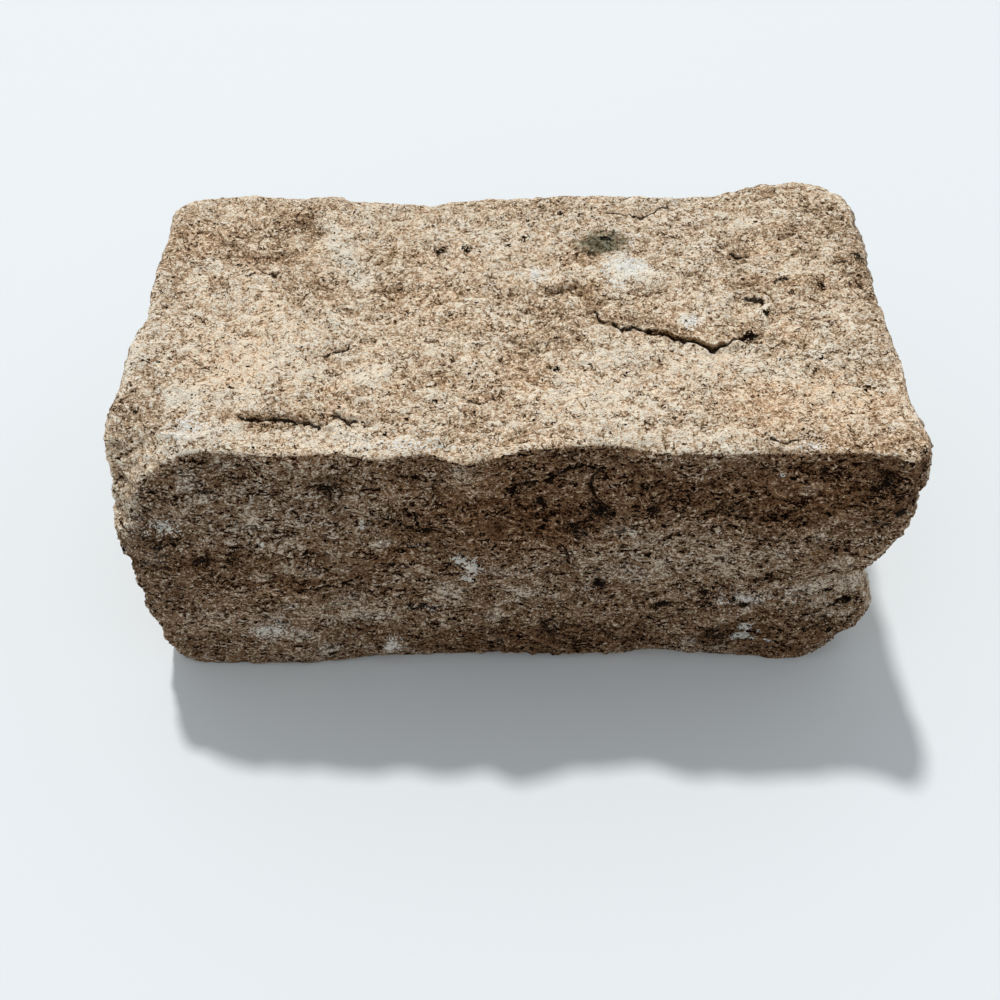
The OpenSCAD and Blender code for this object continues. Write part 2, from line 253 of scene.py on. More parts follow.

# Broad tones of each face: the middle, the half sizes, how much lighter, how much warmer. The darker ones
# are partly the stone's own tone and partly painted shade of hollows and scarps.
tones = dict(
    top=[
        ((-82, 55), (13, 10), -1, 0.3), ((-112, 42), (20, 14), -0.4, 0.3), ((-98, 30), (10, 8), -0.3, 0.2),
        ((-135, 45), (10, 30), -0.35, 0.2), ((-38, 32), (9, 7), -0.5, 0.2), ((-75, 55), (5, 7), 0.5, -0.5),
        ((-70, 46), (5, 8), 0.5, -0.5), ((-64, 34), (5, 8), 0.5, -0.4), ((-57, 20), (5, 8), 0.5, -0.4),
        ((-46, 13), (6, 8), -0.5, 0.2), ((-28, 8), (28, 8), -0.35, 0.2), ((-78, 14), (13, 12), -0.4, 0.2),
        ((-98, -18), (22, 30), 0.4, 0.3), ((-90, -30), (14, 12), 0.3, 0.3),
        ((-130, -48), (14, 16), -0.4, -1), ((-136, -8), (8, 22), 0, -0.5),
        ((-118, -45), (8, 6), 0.5, -0.2), ((-115, -66), (9, 6), 0.6, -0.5),
        ((-86, -56), (13, 3), -0.8, 0.4), ((-68, -56), (7, 3), -0.6, 0.4),
        ((-88, -72), (20, 3), -0.2, 0.2), ((-52, -35), (9, 9), 0.5, -0.1),
        ((-22, -38), (15, 7), -0.4, 0.3), ((-8, -48), (6, 3), -0.9, 0.3), ((-12, -62), (7, 12), -0.5, 0.3),
        ((10, -18), (16, 6), -0.5, 0.3), ((6, -28), (10, 8), -0.3, 0.3), ((13, 0), (9, 6), -0.6, 0.1),
        ((20, -9), (9, 6), -0.7, 0.2), ((9, -37), (8, 6), -0.7, 0.2), ((-16, -10), (9, 6), -0.5, 0.2),
        ((31, 31), (7, 5), -0.8, 0.2), ((-48, 36), (5, 5), -0.5, 0.2), ((-108, 33), (6, 6), -0.5, 0.2),
        ((-70, -38), (9, 7), 0.7, -0.1), ((-112, -46), (10, 6), 0.6, -0.1), ((-45, -38), (8, 6), 0.5, 0),
        ((-22, -45), (8, 5), 0.6, 0), ((-68, -64), (12, 4), 0.5, 0), ((-2, 48), (8, 6), 0.4, 0),
        ((-60, 22), (8, 6), 0.3, 0), ((57, -18), (8, 4), 0.7, 0), ((76, -26), (10, 4), 0.5, 0),
        ((96, -35), (9, 6), 0.5, 0.1), ((113, -48), (12, 8), 0.9, 0.1), ((80, 36), (8, 8), 0.5, 0),
        ((90, 50), (8, 6), 0.4, 0), ((105, -20), (6, 5), -0.6, 0.2), ((96, 12), (12, 5), -0.7, 0.2),
        ((116, 12), (10, 5), -0.6, 0.2), ((133, 22), (7, 8), -0.7, 0.2), ((133, 48), (6, 8), -0.5, 0.1),
        ((38, -68), (12, 5), 0.5, 0), ((-140, -30), (7, 12), 0.5, -0.2), ((-95, -61), (12, 4), 0.8, 0.1),
        ((-58, -62), (7, 4), 0.5, 0), ((-92, -46), (8, 5), 0.5, 0.1), ((-78, -25), (8, 5), 0.4, 0),
        ((-10, -40), (7, 5), 0.4, 0), ((85, -23), (10, 5), 0.6, 0), ((99, -13), (7, 6), 0.5, 0),
        ((22, 18), (9, 4), 0.4, 0), ((-4, -18), (7, 5), 0.3, 0), ((-101, 37), (7, 7), 0.4, 0),
        ((-85, 33), (8, 6), -0.6, 0.2), ((-112, 16), (7, 5), -0.4, 0.1), ((-100, 66), (10, 5), -0.4, 0.2),
        ((-75, 66), (8, 4), -0.4, 0.2), ((138, 10), (6, 14), -0.6, 0), ((118, 33), (7, 6), -0.4, 0.1),
        ((75, 45), (6, 6), -0.4, 0.1), ((28, -22), (8, 5), -0.5, 0.1), ((29, -40), (6, 5), -0.4, 0.1),
        ((-28, 11), (6, 5), -0.4, 0.1), ((24, 12), (13, 4), -0.7, 0.2), ((33, 2), (6, 9), -0.5, 0.2),
        ((45, -7), (12, 5), -0.7, 0.2), ((65, -12), (11, 4), -0.8, 0.3), ((90, -15), (10, 5), -0.7, 0.2),
        ((68, -9), (6, 4), 0.6, -0.3), ((46, 25), (9, 8), 0.7, -0.6), ((12, 22), (6, 8), 0.4, -0.4),
        ((84, 33), (15, 8), -0.3, 0.2), ((114, 45), (13, 5), -0.5, 0.2), ((125, 62), (11, 6), -0.5, 0.1),
        ((85, -1), (8, 5), 0.4, 0), ((138, 40), (6, 16), -0.3, -0.3), ((105, -50), (30, 12), -0.1, 1.1),
        ((32, -45), (22, 18), 0.45, 0.1), ((40, -26), (13, 6), 0.4, -0.3), ((80, -33), (14, 8), 0.3, 0.4),
        ((128, -37), (6, 3), -0.5, 0.3), ((128, -70), (22, 5), -0.5, 0.6), ((20, 68), (30, 6), -0.2, 0.1),
        ((100, 52), (5, 4), 0.4, -0.2), ((142, 0), (6, 60), -0.2, -0.5),
    ],
    front=[
        ((-90, 100), (40, 22), 0.3, -0.8), ((-135, 60), (12, 50), -0.2, -0.4),
        ((-105, 72), (30, 5), -0.55, 0.3), ((-48, 69), (12, 6), -0.4, 0.4),
        ((-120, 58), (9, 3), -0.4, 0.2), ((-85, 60), (15, 5), -0.1, 0.5),
        ((-115, 35), (22, 20), 0.15, -0.2), ((-60, 40), (20, 8), 0.35, -0.2),
        ((5, 98), (42, 24), -0.5, 0.8), ((-35, 85), (10, 8), -0.35, 0.3), ((15, 85), (20, 10), -0.35, 0.3),
        ((95, 105), (52, 16), -0.5, 0.7), ((62, 105), (10, 6), -0.3, 0.3), ((133, 110), (10, 10), -0.4, 0),
        ((55, 72), (42, 14), 0.4, -0.3), ((80, 68), (10, 8), 0.2, 0.2), ((128, 50), (14, 8), 0.7, -0.3),
        ((15, 14), (48, 13), -0.7, 0.6), ((80, 20), (9, 9), -0.5, 0.2), ((108, 14), (18, 12), -0.6, 0.5),
        ((-15, 112), (9, 6), 0.3, 0), ((-70, 12), (30, 8), 0.1, -0.2), ((0, 45), (14, 12), 0.2, 0),
        ((120, 85), (12, 10), 0.1, 0), ((-24, 46), (9, 8), 0.6, 0), ((-80, 74), (9, 5), 0.5, 0),
        ((-28, 89), (9, 4), 0.4, 0), ((-65, 36), (12, 5), 0.3, 0), ((-80, 25), (8, 6), 0.3, 0),
        ((60, 92), (8, 4), 0.4, 0), ((64, 50), (7, 8), 0.4, 0), ((46, 76), (7, 6), 0.3, 0),
        ((-80, 57), (7, 5), -0.5, 0.2), ((22, 62), (6, 5), -0.4, 0.2), ((114, 72), (8, 6), -0.7, 0.2),
        ((-98, 42), (7, 5), -0.3, 0.1), ((-130, 82), (6, 10), -0.5, 0), ((120, 92), (9, 5), 0.3, 0),
        ((3, 55), (7, 5), 0.3, 0), ((5, 80), (8, 8), 0.3, 0.2),
    ],
)

crispKinds = ("white", "black", "moss")
toneReach = 1.6  # a tone fades out at this many times its half sizes

# What the faces out of view get by chance: one mark for so many mm of the face's
# length, and between which two values each of its sizes lies.
chanceMarks = {
    "fromEnds": 12,
    "fromTopAndGround": 10,
    "ledgeEvery": 26,
    "ledgeBends": (3, 6),
    "ledgeStep": (3, 8),
    "ledgeRise": (-3, 3),
    "ledgeDrop": (0.6, 2),
    "ledgeRunOut": (6, 14),
    "ledgeEdge": (1, 4),
    "ledgeCracks": (0, 0.3, 0.5),
    "patches": (("white", 60, (2, 5)), ("pale", 10, (3, 9)), ("black", 20, (1.5, 3))),
    "patchFlatness": (0.4, 0.8),
    "patchStrength": (0.9, 1.5),
    "toneEvery": 10,
    "toneWide": (8, 36),
    "toneFlatness": (0.3, 0.7),
    "toneLighter": (-0.7, 0.5),
    "toneWarmer": (-0.6, 0.8),
}


def eased(t):
    t = np.clip(t, 0.0, 1.0)
    return t * t * (3.0 - 2.0 * t)


def rising(values, start, end):  # 0 before start, 1 after end
    return eased((values - start) / (end - start))


def evened(values):  # mean 0 and spread 1
    return (values - values.mean()) / values.std()


def sampled(points, size, recipe):  # one value of a noise for each point
    return np.array([recipe(Vector(p)) for p in points / np.array(size)])


def readPoints(mesh):
    points = np.empty(len(mesh.vertices) * 3)
    mesh.vertices.foreach_get("co", points)
    return points.reshape(-1, 3) / mm


def readNormals(mesh):
    normals = np.empty(len(mesh.vertices) * 3)
    mesh.vertex_normals.foreach_get("vector", normals)
    return normals.reshape(-1, 3)


def writePoints(mesh, points):
    mesh.vertices.foreach_set("co", (points * mm).ravel())
    mesh.update()


def neighbourBlur(mesh):
    # gives a function that blurs values over the points joined by edges
    ends = np.empty(len(mesh.edges) * 2, dtype=np.int64)
    mesh.edges.foreach_get("vertices", ends)
    ends = ends.reshape(-1, 2)
    here = np.concatenate([ends[:, 0], ends[:, 1]])
    there = np.concatenate([ends[:, 1], ends[:, 0]])
    count = len(mesh.vertices)
    links = np.maximum(np.bincount(here, minlength=count), 1)

    def blurred(values, rounds):
        if values.ndim == 2:
            return np.stack([blurred(column, rounds) for column in values.T], axis=1)
        for _ in range(rounds):
            values = 0.5 * values + 0.5 * np.bincount(here, values[there], count) / links
        return values

    return blurred


def evenCopy(node, name, voxel):
    # the CAD stone as an even net of small squares
    piece = bpy.data.objects.new(name, bpy.data.meshes.new_from_object(node))
    scene.collection.objects.link(piece)
    weld = piece.modifiers.new("weld", "WELD")
    weld.merge_threshold = 0.01 * mm
    remesh = piece.modifiers.new("even net", "REMESH")
    remesh.mode = "VOXEL"
    remesh.voxel_size = voxel * mm
    depsgraph = bpy.context.evaluated_depsgraph_get()
    even = bpy.data.meshes.new_from_object(piece.evaluated_get(depsgraph))
    piece.modifiers.clear()
    piece.data = even
    even.name = name
    return piece


# The patterns of split stone, each for one point in its own scale.
def swell(p):
    return noise.fractal(p, 1.0, 2.0, 3)


def flake(p):
    # thin flakes that lie over each other: a slow rise, then a short step down
    bent = p + noise.noise_vector(p * 1.7) * 0.35
    level = noise.fractal(bent, 1.0, 2.0, 2) * 2.4
    rise = level - floor(level)
    return rise if rise < 0.8 else (1 - rise) * 4


def hackle(p):
    bent = p + noise.noise_vector(p * 0.6) * 0.5
    return noise.ridged_multi_fractal(bent, 1.0, 2.1, 4, 1.0, 2.0)


def crystalFacet(p):
    # each crystal is a small tilted flat, at its own height
    middle = noise.voronoi(p)[1][0]
    tilt = noise.cell_vector(middle * 91.7) * 2.0 - Vector((1, 1, 1))
    return (p - middle).dot(tilt) * 1.3 + tilt.x * 0.45


def grain(p):
    return noise.noise(p)


def measured(flat, path):
    # distance to a path, with a sign: less than 0 on its right; and how far along
    path = np.array(path, dtype=float)
    runs = np.linalg.norm(np.diff(path, axis=0), axis=1)
    best = np.full(len(flat), 1e9)
    side = np.ones(len(flat))
    along = np.zeros(len(flat))
    start = 0.0
    for a, b, run in zip(path[:-1], path[1:], runs):
        step = (b - a) / run
        t = np.clip((flat - a) @ step, 0, run)
        off = flat - (a + t[:, None] * step)
        distance = np.linalg.norm(off, axis=1)
        closer = distance < best
        best[closer] = distance[closer]
        side[closer] = np.sign(step[0] * off[closer, 1] - step[1] * off[closer, 0])
        along[closer] = (start + t[closer]) / runs.sum()
        start += run
    return best * np.where(side == 0, 1, side), along


# Each face: which axes its places use, and which way it looks.
faceAxes = dict(
    top=((0, 1), (0, 0, 1)),
    front=((0, 2), (0, -1, 0)),
    back=((0, 2), (0, 1, 0)),
    left=((1, 2), (-1, 0, 0)),
    right=((1, 2), (1, 0, 0)),
)


def flatPlaces(points):
    return {face: points[:, list(axes)] for face, (axes, _) in faceAxes.items()}


def facing(outward, face):
    return rising(outward @ np.array(faceAxes[face][1]), *stone["faceFrom"])


def addChanceMarks():
    # steps, patches and tones for the back and the two ends
    chance = random.Random(stone["seed"])
    low, high = cadLow / mm, cadHigh / mm
    aside, above = chanceMarks["fromEnds"], chanceMarks["fromTopAndGround"]

    def drawn(size):
        return chance.uniform(*chanceMarks[size])

    for face in ("back", "left", "right"):
        across, up = faceAxes[face][0]
        room = high[across] - low[across]

        def place():
            x = chance.uniform(low[across] + aside, high[across] - aside)
            return x, chance.uniform(above, high[up] - above)

        for _ in range(round(room / chanceMarks["ledgeEvery"])):
            x, z = place()
            path = [(x, z)]
            for _ in range(chance.randint(*chanceMarks["ledgeBends"])):
                x += drawn("ledgeStep")
                z += drawn("ledgeRise")
                path.append((x, z))
            if chance.random() < 0.5:
                path.reverse()
            ledges.append(dict(face=face, drop=drawn("ledgeDrop"), runOut=drawn("ledgeRunOut"),
                               edge=drawn("ledgeEdge"), crack=chance.choice(chanceMarks["ledgeCracks"]),
                               path=path))
        for kind, every, sizes in chanceMarks["patches"]:
            for _ in range(round(room / every)):
                wide = chance.uniform(*sizes)
                mark = (place(), (wide, wide * drawn("patchFlatness")), drawn("patchStrength"))
                patches[kind].setdefault(face, []).append(mark)
        for _ in range(round(room / chanceMarks["toneEvery"])):
            wide = drawn("toneWide")
            mark = (place(), (wide, wide * drawn("toneFlatness")),
                    drawn("toneLighter"), drawn("toneWarmer"))
            tones.setdefault(face, []).append(mark)


def marksOf(faces):  # each mark of each face, with its face in front
    return [(face, *mark) for face, marks in faces.items() for mark in marks]


def patchStrength(flat, outward, kind):
    # a crisp patch has 0.5 at its border and falls to -1, a soft one fades out at twice its size
    least = -1.0 if kind in crispKinds else 0.0
    strength = np.full(len(outward), least)
    for face, middle, half, amount in marksOf(patches[kind]):
        away = np.linalg.norm((flat[face] - middle) / half, axis=1)
        inside = 0.5 + 0.5 * amount * (1 - away) if kind in crispKinds else amount * (1 - 0.5 * away)
        here = least + (np.clip(inside, least, 2) - least) * facing(outward, face)
        strength = np.maximum(strength, here)
    return strength


def broadTones(flat, outward):
    light = np.zeros(len(outward))
    warm = np.zeros(len(outward))
    for face, middle, half, lighter, warmer in marksOf(tones):
        away = np.linalg.norm((flat[face] - middle) / half, axis=1)
        share = np.clip(1 - (away / toneReach) ** 2, 0, 1) ** 2 * facing(outward, face)
        light += share * lighter
        warm += share * warmer
    return np.clip(light, -1, 1), np.clip(warm, -1, 1)


def smoothFacets(mesh):
    # the facets are smoothed away, while the arrises are drawn out a little
    blurred = neighbourBlur(mesh)
    points = blurred(readPoints(mesh), stone["netRounds"])
    smooth = blurred(points, stone["facetRounds"])
    moved = np.linalg.norm(smooth - points, axis=1)
    arris = blurred(rising(moved, *stone["arrisFrom"]), stone["netRounds"])
    share = 1 - (1 + stone["arrisSharpening"]) * arris
    writePoints(mesh, points + (smooth - points) * share[:, None])


def moveEdges(mesh):
    points = readPoints(mesh)
    under = cadHigh[2] / mm - points[:, 2]
    behind = points[:, 1] - cadLow[1] / mm
    near = (1 - rising(under, *crestDepth)) * (1 - rising(behind, *crestBack))
    for middle, reach, back in crest:
        points[:, 1] += back * near * np.exp(-((points[:, 0] - middle) / reach) ** 2)
    near = 1 - rising(points[:, 0] - cadLow[0] / mm, *leftEndDepth)
    for middle, reach, out in leftEnd:
        away = np.linalg.norm((points[:, 1:] - middle) / reach, axis=1)
        points[:, 0] -= out * near * np.exp(-away ** 2)
    writePoints(mesh, points)


def refineNearLedges(mesh):
    # more points close to each ledge, so that its edge is crisp
    flat = flatPlaces(readPoints(mesh))
    outward = readNormals(mesh)
    close = np.zeros(len(outward), dtype=bool)
    for ledge in ledges:
        away, _ = measured(flat[ledge["face"]], ledge["path"])
        close |= (np.abs(away) < stone["ledgeNear"]) & (facing(outward, ledge["face"]) > 0.1)
    work = bmesh.new()
    work.from_mesh(mesh)
    work.verts.ensure_lookup_table()
    chosen = [edge for edge in work.edges if close[edge.verts[0].index] and close[edge.verts[1].index]]
    bmesh.ops.subdivide_edges(work, edges=chosen, cuts=stone["ledgeCuts"], use_grid_fill=True)
    bmesh.ops.triangulate(work, faces=[face for face in work.faces if len(face.verts) > 4])
    work.to_mesh(mesh)
    work.free()


def splitRelief(points, onTop, rim):
    # how far the split surface stands out: broad lumps, fine relief, and chips off the arrises
    def relief(kind, recipe):
        return stone[kind + "Height"] * evened(sampled(points, stone[kind + "Size"], recipe))

    broad = relief("swell", swell) + relief("flake", flake)
    fine = relief("hackle", hackle) + relief("crystal", crystalFacet) + relief("grain", grain)
    fine *= stone["sideFine"] + (1 - stone["sideFine"]) * onTop
    broadWear, fineWear = stone["arrisWear"]
    height = broad * (1 - broadWear * rim) + fine * (1 - fineWear * rim)
    height *= 1 - (1 - stone["topShare"]) * onTop
    chips = evened(sampled(points, stone["chipSize"], swell))
    return height - stone["chipDepth"] * rim * rising(chips, *stone["chipFrom"])


def ledgeRelief(points, flat, outward):
    # steps and their cracks, how many crack widths off each point is, and the risers that get painted shade
    height = np.zeros(len(points))
    lineDistance = np.full(len(points), float(stone["farOff"]))
    riser = np.zeros(len(points))
    wobble = np.zeros(len(points))
    for (reach, size), recipe in zip(stone["wobble"], (swell, grain)):
        wobble += reach * evened(sampled(points, size, recipe))
    highRise, highRun = stone["highSide"]
    for ledge in ledges:
        away, along = measured(flat[ledge["face"]], ledge["path"])
        away = away + wobble
        here = facing(outward, ledge["face"]) * eased(np.minimum(along, 1 - along) / stone["ledgeFade"])
        lowSide = np.exp(-np.abs(away) / ledge["runOut"])
        highSide = highRise * np.exp(-np.abs(away) / (highRun * ledge["runOut"]))
        across = eased(away / ledge["edge"] + 0.5)
        height += here * ledge["drop"] * (across * highSide - (1 - across) * lowSide)
        if not ledge["crack"]:
            continue
        fromFoot = np.abs(away + 0.5 * ledge["edge"])
        height -= here * ledge["crack"] * np.exp(-(fromFoot / stone["crackReach"]) ** 2)
        fadedOut = stone["crackFade"] * (1 - here)
        lineDistance = np.minimum(lineDistance, fromFoot / ledge["crack"] + fadedOut)
        if ledge["drop"] > stone["tallStep"]:
            riser = np.maximum(riser, here * np.exp(-(away / (0.5 * ledge["edge"] + 0.2)) ** 2))
    return height, np.clip(lineDistance, 0, stone["farOff"]), riser


def insideBox(points):
    low = np.array(cadLow) / mm - stone["boxMargin"]
    high = np.array(cadHigh) / mm + stone["boxMargin"]
    low[2] = 0
    return np.clip(points, low, high)


def thinOut(piece, plainPlaces):
    # fewer triangles where the stone is flat, and on the faces that show least
    piece.data.calc_loop_triangles()
    thinner = piece.modifiers.new("thinner", "DECIMATE")
    thinner.ratio = min(1.0, stone["triangles"] / len(piece.data.loop_triangles))
    plain = piece.vertex_groups.new(name="plain")
    plain.add([int(i) for i in np.flatnonzero(plainPlaces)], 1.0, "REPLACE")
    thinner.vertex_group = plain.name
    thinner.vertex_group_factor = stone["thinPlain"]
    depsgraph = bpy.context.evaluated_depsgraph_get()
    thin = bpy.data.meshes.new_from_object(piece.evaluated_get(depsgraph))
    piece.modifiers.clear()
    piece.vertex_groups.clear()
    full, piece.data = piece.data, thin
    bpy.data.meshes.remove(full)
    thin.name = piece.name


def keepValue(mesh, name, values):  # for the material to read
    mesh.attributes.new(name, "FLOAT", "POINT").data.foreach_set("value", values.astype(np.float32))


def makeStone():
    noise.seed_set(stone["seed"])
    piece = evenCopy(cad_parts[stoneNode], "graniteBlock", stone["voxel"])
    mesh = piece.data
    print("even net:", len(mesh.vertices), "points")
    addChanceMarks()
    smoothFacets(mesh)
    moveEdges(mesh)
    refineNearLedges(mesh)
    print("finer net at the ledges:", len(mesh.vertices), "points")

    blurred = neighbourBlur(mesh)
    points = readPoints(mesh)
    flat = flatPlaces(points)
    detailRounds, broadRounds = stone["wayRounds"]
    detailed = blurred(readNormals(mesh), detailRounds)
    outward = blurred(detailed, broadRounds)
    outward /= np.linalg.norm(outward, axis=1)[:, None]
    agreement = np.linalg.norm(blurred(detailed, stone["rimRounds"]), axis=1)
    rim = rising(1 - agreement, *stone["rimFrom"])
    onTop = rising(outward[:, 2], *stone["topFrom"])
    onBed = rising(-outward[:, 2], *stone["bedFrom"])

    height = splitRelief(points, onTop, rim)
    steps, lineDistance, riser = ledgeRelief(points, flat, outward)
    height += steps
    # the hollows and basins found here are painted darker in the material: partly dirt, partly painted
    # shade
    smallRounds, wideRounds = stone["hollowRounds"]
    level = blurred(height, smallRounds)
    hollow = level - height
    basin = blurred(height, wideRounds) - level

    rough = points + outward * (height * (1 - onBed))[:, None]
    bedPits = rising(evened(sampled(rough, stone["bedPitSize"], swell)), *stone["bedPitFrom"])
    rough[:, 2] += onBed * stone["bedPits"] * bedPits
    writePoints(mesh, insideBox(rough))

    smallDepth, wideDepth = stone["hollowDepths"]
    topColour = rising(detailed[:, 2], *stone["topColourFrom"])
    frontColour = rising(-detailed[:, 1], *stone["frontColourFrom"]) * (1 - topColour)
    light, warm = broadTones(flat, outward)
    kept = dict(
        rim=rim, riser=riser, lineDistance=lineDistance, light=light, warm=warm,
        onTop=topColour, onFront=frontColour,
        hollow=np.clip(hollow / smallDepth, -1, 1),
        basin=np.clip(basin / wideDepth, -1, 1),
        **{kind: patchStrength(flat, outward, kind) for kind in patches})
    for name, values in kept.items():
        keepValue(mesh, name, values)

    leastSeen = (detailed[:, 2] < stone["plainBelow"]) & (-detailed[:, 1] < stone["plainBelow"])
    thinOut(piece, leastSeen)
    writePoints(piece.data, insideBox(readPoints(piece.data)))
    piece.data.shade_smooth()
    print("stone:", len(piece.data.polygons), "faces")
    return piece


class NodeBoard:
    # short names for making and joining a material's nodes
    def __init__(self, name):
        self.material = bpy.data.materials.new(name)
        self.material.use_nodes = True
        self.tree = self.material.node_tree
        self.tree.nodes.clear()

    def node(self, kind, inputs=None, **settings):
        made = self.tree.nodes.new("ShaderNode" + kind)
        for key, value in settings.items():
            setattr(made, key, value)
        for key, value in (inputs or {}).items():
            self.feed(made.inputs[key], value)
        return made

    def feed(self, socket, value):
        if isinstance(value, bpy.types.NodeSocket):
            self.tree.links.new(value, socket)
        else:
            socket.default_value = value

    def math(self, operation, *values):
        made = self.node("Math", operation=operation)
        for socket, value in zip(made.inputs, values):
            self.feed(socket, value)
        return made.outputs[0]

    def vector(self, operation, *values):
        return self.node("VectorMath", dict(enumerate(values)), operation=operation).outputs[0]

    def share(self, value, part):
        return self.math("MULTIPLY", value, part)

    def summed(self, start, *parts):  # start, plus each value times its weight
        total = start
        for value, weight in parts:
            total = self.math("MULTIPLY_ADD", value, weight, total)
        return total

    def mask(self, value, start, end):  # 0 before start, 1 after end
        made = self.node("MapRange", {"Value": value, "From Min": start, "From Max": end},
                         interpolation_type="SMOOTHSTEP")
        return made.outputs["Result"]

    def ramp(self, value, stops):
        made = self.node("ValToRGB", {"Fac": value})
        band = made.color_ramp
        while len(band.elements) < len(stops):
            band.elements.new(0.5)
        for element, (place, colour) in zip(band.elements, stops):
            element.position = place
            element.color = (*colour, 1)
        return made.outputs["Color"]

    def mixed(self, amount, under, over, blend="MIX"):
        made = self.node("Mix", data_type="RGBA", blend_type=blend)
        self.feed(made.inputs["Factor"], amount)
        self.feed(made.inputs[6], under)
        self.feed(made.inputs[7], over)
        return made.outputs[2]

    def value(self, name):  # a value kept on the mesh
        return self.node("Attribute", attribute_name=name, attribute_type="GEOMETRY").outputs["Fac"]

    def parts(self, colour):  # three values that have nothing to do with each other
        made = self.node("SeparateColor", {"Color": colour})
        return made.outputs["Red"], made.outputs["Green"], made.outputs["Blue"]

    def finish(self, inputs):
        shader = self.node("BsdfPrincipled", inputs)
        output = self.node("OutputMaterial")
        self.tree.links.new(shader.outputs[0], output.inputs["Surface"])
        return self.material


# Colours as light gives them back, and sizes in mm. Each list of colours goes
# from the darkest crystals to the palest.
granite = {
    "stretch": (0.9, 1.0, 1.15),  # the grain lies flat and along the stone
    "swirl": 1.5,  # how far the grain bends
    "bigCrystal": 2.8,
    "smallCrystal": 1.0,
    "fibreStretch": (0.35, 1.1, 1.1),
    "strokeStretch": (0.5, 0.9, 1.05),
    "noises": {  # the size of each pattern, and how fine its detail goes
        "bend": (2.4, 2),
        "speck": (0.62, 1),
        "fibre": (0.95, 1),  # each big crystal has its own direction of fine fibres
        "pit": (1.1, 1),  # small pits painted dark as shade, most of them on the front
        "fleck": (1.8, 2),
        "grit": (2.2, 3),
        "stroke": (2.2, 2),  # short dark strokes that lie along the stone: painted shadows under small flakes
        "thread": (2.3, 2),  # thin threads between the crystals: the dark ones painted shade in fine crevices, the pale ones painted highlights on crystal edges
        "cloud": (8.0, 4),
        "drift": (30.0, 3),
    },
    "clean": [
        (0.03, (0.035, 0.016, 0.007)), (0.17, (0.150, 0.084, 0.042)), (0.29, (0.280, 0.184, 0.108)),
        (0.40, (0.435, 0.294, 0.178)), (0.51, (0.590, 0.414, 0.266)), (0.60, (0.775, 0.565, 0.380)),
        (0.68, (0.935, 0.735, 0.525)), (0.76, (0.985, 0.870, 0.695)),
    ],
    "weathered": [
        (0.03, (0.003, 0.0012, 0.0005)), (0.19, (0.021, 0.0080, 0.0030)), (0.31, (0.078, 0.0350, 0.0145)),
        (0.43, (0.148, 0.0770, 0.0375)), (0.56, (0.222, 0.1260, 0.0670)), (0.67, (0.285, 0.175, 0.099)),
        (0.77, (0.380, 0.260, 0.160)), (0.90, (0.72, 0.60, 0.47)),
    ],
    "sideWeather": 0.6,  # how far the back and the ends take the front's dark colours
    "lighter": 0.30,  # how far the broad tones move the shade
    "cool": (0.97, 1.00, 1.04),
    "warm": (1.04, 0.95, 0.87),
    "quartz": (0.93, 0.95, 0.97),
    "moss": (0.28, 0.32, 0.28),
    "white": (0.985, 0.95, 0.87),
    "black": (0.009, 0.006, 0.004),
    "crack": (0.012, 0.006, 0.003),
    # the tint of the painted shade on the tall risers
    "riser": (0.42, 0.34, 0.24),
    "paleCoat": (0.070, 0.061, 0.049),
    "roughness": 0.88,
    "gloss": 0.04,
    "bumpStrength": 0.9,
    "bumpHeight": 1.1,
}


